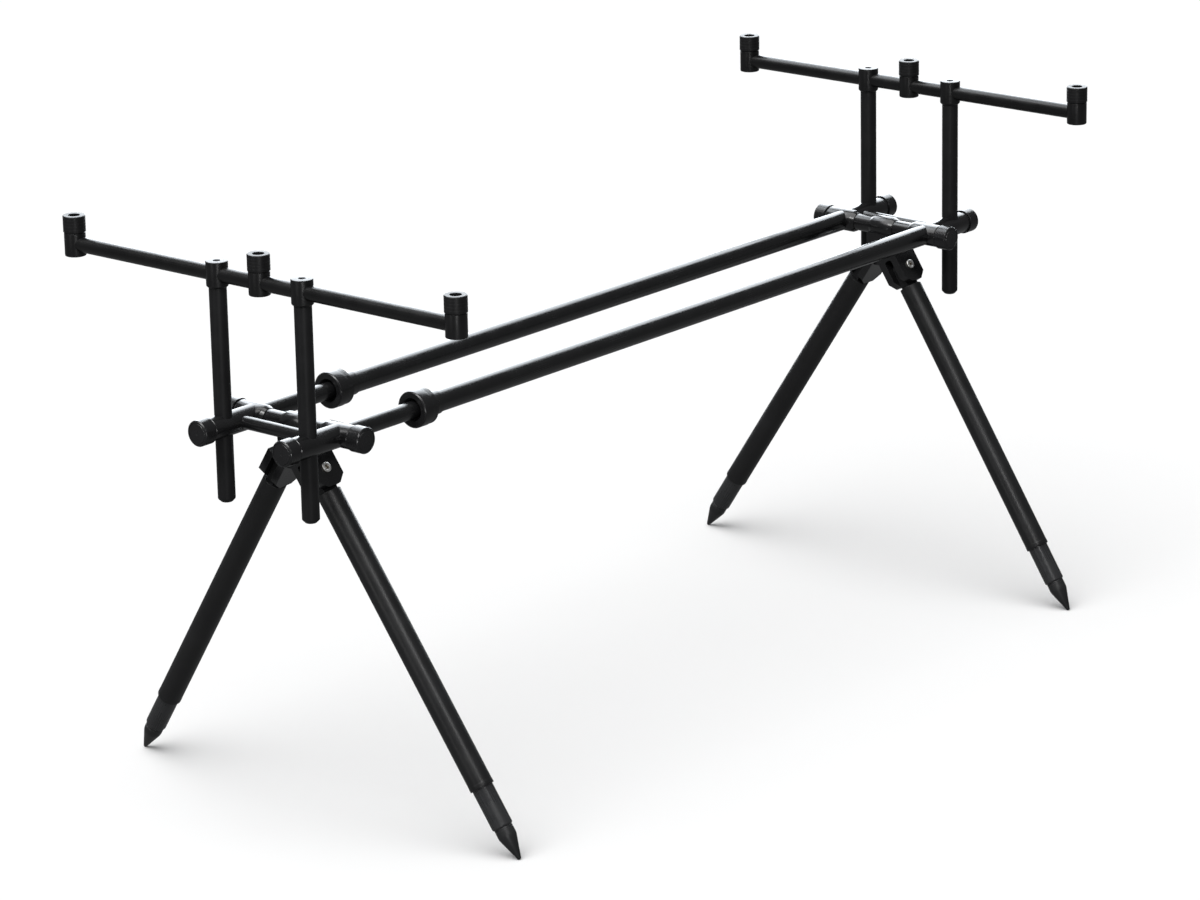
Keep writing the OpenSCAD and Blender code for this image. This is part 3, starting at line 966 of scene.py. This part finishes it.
    def thread(self, name: str) -> bpy.types.Mesh:
        """Makes the ridge of a boss's thread.

        Args:
            name: Name of the mesh.

        Returns:
            A closed mesh of a ridge with a triangular section, wound up the hole.
        """
        pitch, sunk = self.thread_pitch, self.thread_root + self.thread_sink
        half = pitch * self.thread_half
        section = ((sunk, -half), (self.thread_crest, 0.0), (sunk, half))
        top, (runout, start) = self.boss_half + self.spigot_height, self.thread_ends
        low, high = top - self.thread_depth + runout, top - start
        steps = int((high - low - 2 * half) / pitch * THREAD_STEPS)
        points: list[Point] = []
        for step in range(steps + 1):
            turn = math.tau * step / THREAD_STEPS
            height = low + half + pitch * step / THREAD_STEPS
            for radius, rise in section:
                x, y = radius * MM * math.cos(turn), radius * MM * math.sin(turn)
                points.append((x, y, (height + rise) * MM))
        faces: list[tuple[int, ...]] = []
        for a in range(0, 3 * steps, 3):
            faces.append((a, a + 1, a + 4, a + 3))
            faces.append((a + 1, a + 2, a + 5, a + 4))
            faces.append((a + 2, a, a + 3, a + 5))
        last = 3 * steps
        faces += [(0, 2, 1), (last, last + 1, last + 2)]
        mesh = bpy.data.meshes.new(name)
        mesh.from_pydata(points, [], faces)
        mesh.update()
        return mesh

    def collar(self) -> Profile:
        """Draws a lock collar.

        Returns:
            Its profile, with fine grip grooves.
        """
        radius, top, chamfer = self.collar_radius, self.collar_height, self.chamfer
        profile = Profile()
        profile.to(self.collar_bore, 0.0, ease=0.3).to(radius, 0.0, ease=0.2)
        for groove in range(1, self.grooves + 1):
            profile.groove(radius, top * groove / (self.grooves + 1), *self.groove)
        profile.to(radius, top - chamfer, ease=0.1).to(radius - chamfer, top, ease=0.1)
        profile.to(self.mouth + self.mouth_lead, top).to(self.mouth, top - self.mouth_lead)
        return profile.to(self.mouth, self.spigot_height).to(self.collar_bore, self.spigot_height)

    def head(self) -> Profile:
        """Draws the head that joins a post to the bar.

        Returns:
            Its profile, with the set screw's hole.
        """
        half, radius, hole = self.head_half, self.head_radius, self.screw_hole
        lead, floor = self.screw_lead, half - self.screw_depth
        profile = Profile()
        profile.to(0.0, -half).to(radius - self.head_step, -half, ease=0.3)
        profile.to(radius, self.head_step - half, ease=0.5).to(radius, half, ease=0.8)
        return profile.to(hole + lead, half).to(hole, half - lead).to(hole, floor).to(0.0, floor)

    def post(self, length: float) -> Profile:
        """Draws a post.

        Args:
            length: Its length.

        Returns:
            Its profile, closed and chamfered at its foot.
        """
        radius, tip = self.post_radius, self.post_tip
        profile = Profile()
        for reach, height in self.dimple:
            profile.to(reach, height)
        profile.to(radius - tip, 0.0, ease=0.6).to(radius, tip, ease=0.8)
        return profile.to(radius, length).to(0.0, length)


@dataclass(kw_only=True)
class FrameEnd(SubAssembly):
    """Tees, stiffener, cross axle and leg yoke at one end of the pod.

    Attributes:
        end: End of the pod.
        edge: Width of the broken edges.
        screw_radius: Radius of a leg screw.
        screw_length: Length of a leg screw under its head.
        head_radius: Radius of its head.
        head_height: Height of its head.
        socket: Width of the hexagon socket in its head.
        socket_depth: Depth of the socket.
        lead: Width and depth of the countersink round the socket.
        drill_point: Depth of the cone at the socket's bottom.
        clevis: Width of a clevis along the screw.
    """

    end: End
    edge: float = 0.2
    screw_radius: float = 3.0
    screw_length: float = 20.7
    head_radius: float = 4.7
    head_height: float = 1.8
    socket: float = 4.6
    socket_depth: float = 3.0
    lead: Pair = (0.7, 0.3)
    drill_point: float = 0.4
    clevis: float = 24.0

    def build(self) -> None:
        """Makes the tees, the yoke and the leg screws, and keeps the stiffener and the axle."""
        word = self.end.word
        self.ease(f"{word}_tees", self.edge, GLOSS_MACHINED)
        self.ease(f"{word}_yoke", self.edge, GLOSS_MACHINED)
        self.carry(f"{word}_stiffener", GLOSS_AXLE)
        self.carry(f"{word}_axle", GLOSS_AXLE)
        for side in Side:
            fold = joint(f"{word}_{side.word}_leg_fold")
            axis = Vector(fold["axis"])
            axis *= math.copysign(1.0, axis.x * side.value)
            face = Vector(fold["pos_m"]) + axis * self.clevis / 2 * MM
            mesh = self.screw().mesh(f"{word}_{side.word}_leg_screw", columns=72)
            self.add(mesh, Stand(face, axis).matrix(), f"{word}_leg_screws", STAINLESS)

    def screw(self) -> Profile:
        """Draws a leg screw.

        Returns:
            Its profile, with a low head and a hexagon socket.
        """
        top, length, flats = self.head_height, self.screw_length, self.socket / 2
        floor = top - self.socket_depth
        profile = Profile()
        profile.to(0.0, -length).to(self.screw_radius, -length, ease=0.4)
        profile.to(self.screw_radius, 0.0).to(self.head_radius, 0.0, ease=0.1)
        profile.to(self.head_radius, top, ease=0.9).to(flats + self.lead[0], top, ease=0.1)
        profile.to(flats, top - self.lead[1], plan=Plan.HEXAGON)
        return profile.to(flats, floor, plan=Plan.HEXAGON).to(0.0, floor - self.drill_point)


@dataclass(kw_only=True)
class SideBars(SubAssembly):
    """Telescoping side bars with their ferrules, collets and collar nuts.

    Attributes:
        radius: Radius of a collar nut.
        length: Length of a nut.
        recess_radius: Radius of the cone in its front face.
        recess: Depth of that cone.
        mouth: Radius of the hole for the inner tube.
        seat_radius: Radius where the collet's seat starts.
        seat: Depth of that seat.
        bore: Radius of the bore on the ferrule.
        bore_start: Depth where the bore starts.
        bore_lead: Countersink of the bore.
        chamfer: Chamfer at both ends.
        grip: Length of the ribbed band at the back.
        step: How far that band lies below the rest.
        pitch: Pitch of its ribs.
        depth: Depth of its ribs.
    """

    radius: float = 17.0
    length: float = 19.0
    recess_radius: float = 11.2
    recess: float = 2.6
    mouth: float = 9.04
    seat_radius: float = 9.58
    seat: float = 6.7
    bore: float = 11.12
    bore_start: float = 10.2
    bore_lead: float = 0.3
    chamfer: float = 1.1
    grip: float = 7.0
    step: float = 0.4
    pitch: float = 1.6
    depth: float = 0.14

    def build(self) -> None:
        """Makes the nuts, and keeps the tubes, ferrules and collets."""
        self.carry("side_outer_tubes", GLOSS_BAR)
        self.carry("side_inner_tubes", GLOSS_BAR)
        self.carry("side_ferrules", GLOSS_MACHINED)
        self.carry("side_collets", NYLON)
        for side in Side:
            node = f"{side.word}_collar_nut"
            spot, (low, _) = middle(node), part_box(node)
            stand = Stand(Vector((spot.x, low.y, spot.z)), Vector((0, 1, 0)))
            mesh = self.nut().mesh(node + "_turned", columns=144)
            self.add(mesh, stand.matrix(), node, GRIP)

    def nut(self) -> Profile:
        """Draws a collar nut.

        Returns:
            Its profile, from its front face.
        """
        radius, chamfer, lead = self.radius, self.chamfer, self.bore_lead
        top, band, grip = self.length, self.length - self.grip, radius - self.step
        profile = Profile()
        profile.to(self.recess_radius, 0.0, ease=0.2).to(radius - chamfer, 0.0, ease=0.3)
        profile.to(radius, chamfer, ease=0.3).to(radius, band - self.step, ease=0.1)
        profile.ripple(grip, band, top - chamfer, self.pitch, self.depth)
        profile.to(grip - chamfer, top, ease=0.2).to(self.bore + lead, top)
        profile.to(self.bore, top - lead).to(self.bore, self.bore_start)
        profile.to(self.seat_radius, self.seat).to(self.mouth, self.seat)
        return profile.to(self.mouth, self.recess, ease=0.2)


@dataclass(kw_only=True)
class Leg(SubAssembly):
    """Telescopic leg with its tongue, tube, extension and spike.

    Attributes:
        end: End of the pod.
        side: Side of the pod.
        radius: Radius of the leg tube.
        bore: Radius of its bore.
        top: Distance from the leg screw to the tube's upper end.
        foot: Distance from the leg screw to its lower end.
        lip_out: How far the lip at the lower end stands out.
        lip: Length of the lip.
        lip_rise: Length over which the lip rises.
        inner_radius: Radius of the inner leg tube.
        inner_bore: Radius of its bore.
        inner_length: Length of the inner leg tube.
        inner_chamfer: Width and length of the chamfer at its lower end.
        spike_radius: Radius of the spike.
        plug: Length of the plug that holds the spike in the inner leg tube.
        plug_gap: Gap round the plug and under the tube.
        shoulder: Length of the spike's straight part.
        shoulder_edge: Width and length of the chamfer at its upper end.
        groove: Place, width and depth of the groove round it.
        cone: Length of the spike's taper, to the middle of the rounded tip.
        tip: Radius of the rounded tip.
        edge: Width of the tongue's broken edges.
    """

    end: End
    side: Side
    radius: float = 11.3
    bore: float = 10.1
    top: float = 19.6
    foot: float = 314.0
    lip_out: float = 0.12
    lip: float = 4.0
    lip_rise: float = 0.6
    inner_radius: float = 9.8
    inner_bore: float = 8.3
    inner_length: float = 240.0
    inner_chamfer: Pair = (1.0, 1.3)
    spike_radius: float = 8.6
    plug: float = 14.0
    plug_gap: float = 0.05
    shoulder: float = 9.0
    shoulder_edge: Pair = (0.5, 0.6)
    groove: tuple[float, float, float] = (2.325, 0.65, 0.3)
    cone: float = 21.0
    tip: float = 2.0
    edge: float = 0.4

    def build(self) -> None:
        """Makes the tongue, the tubes and the spike, and keeps the lock bush."""
        word = f"{self.end.word}_{self.side.word}"
        pivot = Vector(joint(f"{word}_leg_fold")["pos_m"])
        down = Vector(joint(f"{word}_leg_extend")["axis"])
        stand = Stand(pivot, down).matrix()
        reach = (pivot.z / MM - self.tip) / -down.z
        self.ease(f"{word}_leg_head", self.edge, SATIN_BLASTED)
        self.carry(f"{word}_lock_bush", NYLON)
        for node, ending, profile, finish in (
            (f"{word}_leg_tube", "_drawn", self.tube(), SATIN_LEG),
            (f"{word}_inner_leg", "_drawn", self.inner(reach), GREY_TUBE),
            (f"{word}_spike", "_turned", self.spike(reach), GREY_SPIKE),
        ):
            self.add(profile.mesh(node + ending), stand, node, finish)

    def tube(self) -> Profile:
        """Draws the leg tube.

        Returns:
            Its profile, with a rounded upper edge and a rolled lip below.
        """
        lip, start = self.radius + self.lip_out, self.foot - self.lip
        profile = Profile()
        profile.to(self.bore, self.top, ease=0.3).to(self.radius, self.top, ease=0.6)
        profile.to(self.radius, start - self.lip_rise, ease=0.3).to(lip, start, ease=0.3)
        return profile.to(lip, self.foot, ease=0.6).to(self.bore, self.foot, ease=0.3)

    def inner(self, reach: float) -> Profile:
        """Draws the inner leg tube.

        Args:
            reach: Distance from the leg screw to the middle of the spike's tip.

        Returns:
            Its profile, chamfered at its lower end.
        """
        foot = reach - self.cone - self.shoulder
        start, radius = foot - self.inner_length, self.inner_radius
        width, length = self.inner_chamfer
        profile = Profile()
        profile.to(self.inner_bore, start).to(radius, start, ease=0.3)
        profile.to(radius, foot - length, ease=0.5).to(radius - width, foot, ease=0.3)
        return profile.to(self.inner_bore, foot)

    def spike(self, reach: float) -> Profile:
        """Draws the spike.

        Args:
            reach: Distance from the leg screw to the middle of the spike's tip.

        Returns:
            Its profile, with its plug, a turned shoulder and a rounded tip.
        """
        start = reach - self.cone - self.shoulder
        radius, plug = self.spike_radius, self.inner_bore - self.plug_gap
        (edge, length), (place, width, depth) = self.shoulder_edge, self.groove
        profile = Profile()
        profile.to(0.0, start - self.plug).to(plug, start - self.plug).to(plug, start)
        profile.to(radius - edge, start + self.plug_gap, ease=0.2)
        profile.to(radius, start + length, ease=0.2).groove(radius, start + place, width, depth)
        profile.to(radius, start + self.shoulder, ease=2.0)
        lean = math.atan2(radius - self.tip, self.cone)
        for step in range(TIP_STEPS):
            turn = lean + (math.pi / 2 - lean) * step / TIP_STEPS
            profile.to(self.tip * math.cos(turn), reach + self.tip * math.sin(turn))
        return profile.to(0.0, reach + self.tip)


@dataclass(frozen=True)
class Viewpoint:
    """The camera.

    Attributes:
        spot: Where it stands, in metres.
        azimuth: Direction round the pod, from -Y towards +X.
        elevation: Angle down to the pod.
        roll: Turn about the view's axis.
        focal_px: Focal length in pixels of the picture.
    """

    spot: Point = (2.84885, -3.35978, 1.58576)
    azimuth: float = 40.47
    elevation: float = 17.08
    roll: float = -1.14
    focal_px: float = 4807.84

    def build(self) -> None:
        """Makes the camera and hands it to the scene."""
        data = bpy.data.cameras.new("camera")
        data.sensor_width = SENSOR_WIDTH
        data.lens = self.focal_px / PHOTO_WIDTH_PX * SENSOR_WIDTH
        upright = Matrix.Rotation(math.radians(self.azimuth), 4, "Z")
        tilt = Matrix.Rotation(math.radians(90 - self.elevation), 4, "X")
        roll = Matrix.Rotation(math.radians(self.roll), 4, "Z")
        place = Matrix.Translation(self.spot) @ upright @ tilt @ roll
        bpy.context.scene.camera = put("camera", data, place)


@dataclass(frozen=True)
class SoftBox:
    """An area light that is shaded off the floor.

    Attributes:
        name: Its name.
        size: Its width and height in metres.
        power: Its power in watts.
        spot: Where it hangs, in metres.
        colour: Its colour.
        aim: The point that it faces.
    """

    name: str
    size: Pair
    power: float
    spot: Point
    colour: Colour = (1.0, 1.0, 1.0)
    aim: Point = (0.0, 0.0, 0.3)

    def build(self, floor: bpy.types.Object) -> None:
        """Hangs the light and keeps it off the floor.

        Args:
            floor: The floor.
        """
        data = bpy.data.lights.new(self.name, "AREA")
        data.shape = "RECTANGLE"
        data.size, data.size_y = self.size
        data.energy = self.power
        data.color = self.colour
        way = Vector(self.aim) - Vector(self.spot)
        turn = way.to_track_quat("-Z", "Y").to_matrix().to_4x4()
        light = put(self.name, data, Matrix.Translation(self.spot) @ turn)
        shaded = bpy.data.collections.new(self.name + "_shaded_off")
        shaded.objects.link(floor)
        shaded.collection_objects[0].light_linking.link_state = "EXCLUDE"
        light.light_linking.receiver_collection = shaded


@dataclass(frozen=True)
class Overhead:
    """A wide, even light from high above, slightly from the front.

    Attributes:
        strength: Its strength in watts per square metre.
        width: Angle that it fills.
        tilt: Angle from straight above towards the front.
    """

    strength: float = 3.45
    width: float = 70.0
    tilt: float = 20.0

    def build(self) -> None:
        """Hangs the light."""
        data = bpy.data.lights.new("overhead", "SUN")
        data.energy = self.strength
        data.angle = math.radians(self.width)
        put("overhead", data, Matrix.Rotation(math.radians(self.tilt), 4, "X"))


@dataclass(frozen=True)
class Studio:
    """Pale floor, dim even sky and soft lights.

    Attributes:
        reach: Half of the floor's width in metres.
        shade: Brightness of the floor.
        sky: Brightness of the sky.
        ground: Brightness that the metal sees below the horizon.
        overhead: Light that fills the floor and casts the shadow.
        boxes: Lights for the sheen on the metal.
    """

    reach: float = 30.0
    shade: float = 0.88
    sky: float = 0.15
    ground: float = 0.24
    overhead: Overhead = Overhead()
    boxes: tuple[SoftBox, ...] = (
        SoftBox("behind", (2.6, 2.6), 138.0, (-1.4, 1.9, 1.3), (0.9, 0.95, 1.0)),
        SoftBox("left", (1.0, 1.0), 14.0, (-1.4, 0.35, 2.05), (0.9, 0.95, 1.0)),
        SoftBox("key", (1.6, 0.5), 36.0, (0.15, -1.9, 2.7)),
        SoftBox("right", (0.55, 0.55), 8.5, (1.7, -1.3, 1.5)),
        SoftBox("front", (1.0, 0.8), 3.8, (-0.3, -3.0, 0.4)),
        SoftBox("low", (0.45, 0.4), 7.0, (1.85, -1.95, 0.2)),
    )

    def build(self) -> None:
        """Lays the floor and sets the light."""
        floor = self.lay_floor()
        bpy.context.scene.world = self.make_sky()
        bpy.context.scene.view_settings.view_transform = "Standard"
        self.overhead.build()
        for box in self.boxes:
            box.build(floor)

    def lay_floor(self) -> bpy.types.Object:
        """Lays the floor.

        Returns:
            The floor, which the metal doesn't mirror.
        """
        r = self.reach
        mesh = bpy.data.meshes.new("floor")
        mesh.from_pydata([(-r, -r, 0), (r, -r, 0), (r, r, 0), (-r, r, 0)], [], [(0, 1, 2, 3)])
        floor = put("floor", mesh, Matrix.Identity(4))
        floor.visible_glossy = False
        floor.visible_diffuse = False
        floor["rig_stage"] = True
        material = bpy.data.materials.new("pale_floor")
        graph = Graph.of(material)
        place = graph.add("TexCoord").outputs["Object"]
        patches = graph.noise(place, scale=0.7, detail=2.0)
        dark, pale = self.shade - 0.01, self.shade + 0.01
        shade = graph.spread(patches, source=(0.3, 0.7), target=(dark, pale))
        surface = graph.add(
            "BsdfPrincipled", Base_Color=shade, Roughness=0.9, Specular_IOR_Level=0.1,
        )
        graph.add("OutputMaterial", Surface=surface.outputs["BSDF"])
        mesh.materials.append(material)
        return floor

    def make_sky(self) -> bpy.types.World:
        """Makes the even sky.

        Returns:
            The sky.
        """
        world = bpy.data.worlds.new("even_sky")
        graph = Graph.of(world)
        way = graph.add("TexCoord").outputs["Generated"]
        rise = graph.add("SeparateXYZ", Vector=way).outputs["Z"]
        glow = graph.spread(rise, source=(-0.5, -0.1), target=(self.ground, self.sky))
        sky = graph.add("Background", Color=rgba((0.97, 0.985, 1.0)), Strength=glow)
        graph.add("OutputWorld", Surface=sky.outputs["Background"])
        return world


def knobs() -> list[Knob]:
    """The clamp knobs.

    Returns:
        Eight knobs, each with the way that it looks and the length of its stud.
    """
    made = []
    for end in End:
        for side in Side:
            word = f"{end.word}_{side.word}"
            along, across = Vector((0, end.value, 0)), Vector((side.value, 0, 0))
            made.append(Knob(node=f"{word}_post_knob", outward=along, stud=POST_STUD))
            made.append(Knob(node=f"{word}_axle_knob", outward=across, stud=AXLE_STUD))
    return made


def main() -> None:
    """Builds and dresses the pod in its studio."""
    logging.basicConfig(level=logging.INFO, format="%(name)s: %(message)s")
    Viewpoint().build()
    Studio().build()
    parts: list[SubAssembly] = [SideBars()]
    parts += [FrameEnd(end=end) for end in End]
    parts += [Goal(end=end) for end in End]
    parts += [Leg(end=end, side=side) for end in End for side in Side]
    parts += knobs()
    for part in parts:
        part.build()
        part.dress()
    boxes = {"cad": CAD_BOX, "visual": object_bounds()}
    {name: [list(corner) for corner in box] for name, box in boxes.items()}


if __name__ == "__main__":
    main()
